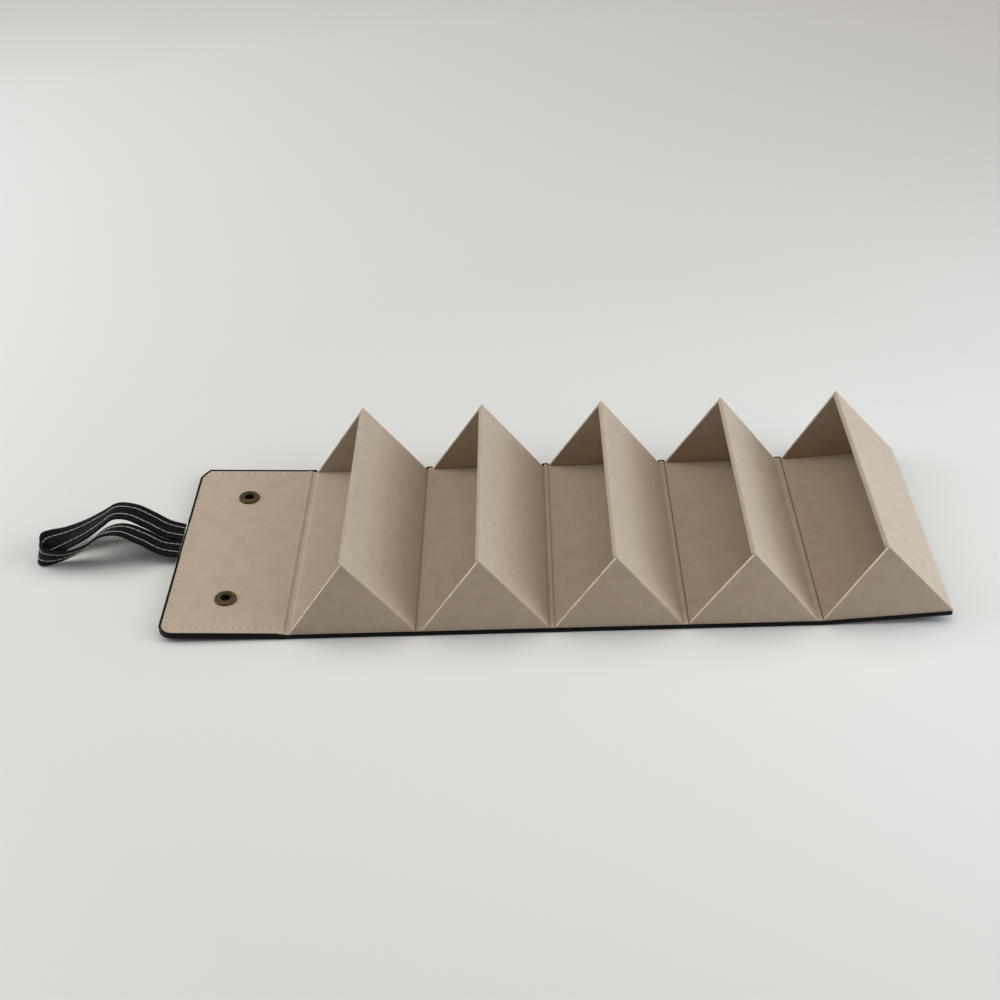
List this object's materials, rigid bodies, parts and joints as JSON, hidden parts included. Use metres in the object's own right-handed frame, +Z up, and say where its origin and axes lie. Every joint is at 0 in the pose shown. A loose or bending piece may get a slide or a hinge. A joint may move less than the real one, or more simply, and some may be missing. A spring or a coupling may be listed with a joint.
{
  "type": "roll-up glasses organiser",
  "caption": "Roll-up case lying open: a row of triangular lined glasses compartments on a black folding cover, with a snap flap and a wrist strap.",
  "frame": {"origin": "on the table under the middle of the third compartment's cover", "axes": "+X along the open strip towards the last compartment, +Y to the rear, +Z up"},
  "size_m": [0.5383, 0.166, 0.0533],
  "materials": {
    "cover": "black fine-grained leather-look cover, satin",
    "strap": "black leather-look strap with pale stitching, satin",
    "board": "grey chipboard, matte",
    "lining": "beige flock cloth, matte",
    "brass": "antique brass, satin",
    "rivet": "plain steel"
  },
  "bodies": {
    "compartment_1": {"cover_1": "cover", "floor_board_1": "board", "floor_lining_1": "lining", "slope_board_1": "board", "slope_sleeve_1": "lining", "front_wall_board_1": "board", "front_wall_sleeve_1": "lining", "rear_wall_board_1": "board", "rear_wall_sleeve_1": "lining"},
    "compartment_2": {"cover_2": "cover", "floor_board_2": "board", "floor_lining_2": "lining", "slope_board_2": "board", "slope_sleeve_2": "lining", "front_wall_board_2": "board", "front_wall_sleeve_2": "lining", "rear_wall_board_2": "board", "rear_wall_sleeve_2": "lining"},
    "compartment_3": {"cover_3": "cover", "floor_board_3": "board", "floor_lining_3": "lining", "slope_board_3": "board", "slope_sleeve_3": "lining", "front_wall_board_3": "board", "front_wall_sleeve_3": "lining", "rear_wall_board_3": "board", "rear_wall_sleeve_3": "lining"},
    "compartment_4": {"cover_4": "cover", "floor_board_4": "board", "floor_lining_4": "lining", "slope_board_4": "board", "slope_sleeve_4": "lining", "front_wall_board_4": "board", "front_wall_sleeve_4": "lining", "rear_wall_board_4": "board", "rear_wall_sleeve_4": "lining"},
    "compartment_5": {"cover_5": "cover", "floor_board_5": "board", "floor_lining_5": "lining", "slope_board_5": "board", "slope_sleeve_5": "lining", "front_wall_board_5": "board", "front_wall_sleeve_5": "lining", "rear_wall_board_5": "board", "rear_wall_sleeve_5": "lining", "snap_stud_front": "brass", "snap_stud_rear": "brass", "stud_rivet_front": "rivet", "stud_rivet_rear": "rivet"},
    "flap": {"flap_cover": "cover", "flap_board": "board", "flap_lining": "lining", "snap_socket_front": "brass", "snap_socket_rear": "brass", "snap_cap_front": "brass", "snap_cap_rear": "brass", "strap_tail_front": "strap", "strap_tail_rear": "strap"},
    "strap": {"strap_loop": "strap"}
  },
  "joints": [
    {"name": "fold_23", "type": "hinge", "parent": "compartment_3", "child": "compartment_2", "pos_m": [-0.038, 0, 0.00145], "axis": [0, 1, 0], "range_deg": [0, 72]},
    {"name": "fold_12", "type": "hinge", "parent": "compartment_2", "child": "compartment_1", "pos_m": [-0.114, 0, 0.00145], "axis": [0, 1, 0], "range_deg": [0, 72]},
    {"name": "flap_fold", "type": "hinge", "parent": "compartment_1", "child": "flap", "pos_m": [-0.19352, 0, 0.00145], "axis": [0, 1, 0], "range_deg": [-2.24, 68.76]},
    {"name": "strap_swing", "type": "hinge", "parent": "flap", "child": "strap", "pos_m": [-0.2653, 0.0075, 0.00446], "axis": [0, -1, 0], "range_deg": [-60, 90]},
    {"name": "fold_34", "type": "hinge", "parent": "compartment_3", "child": "compartment_4", "pos_m": [0.038, 0, 0.00145], "axis": [0, -1, 0], "range_deg": [0, 72]},
    {"name": "fold_45", "type": "hinge", "parent": "compartment_4", "child": "compartment_5", "pos_m": [0.114, 0, 0.00145], "axis": [0, -1, 0], "range_deg": [-3.82, 69.18]}
  ]
}
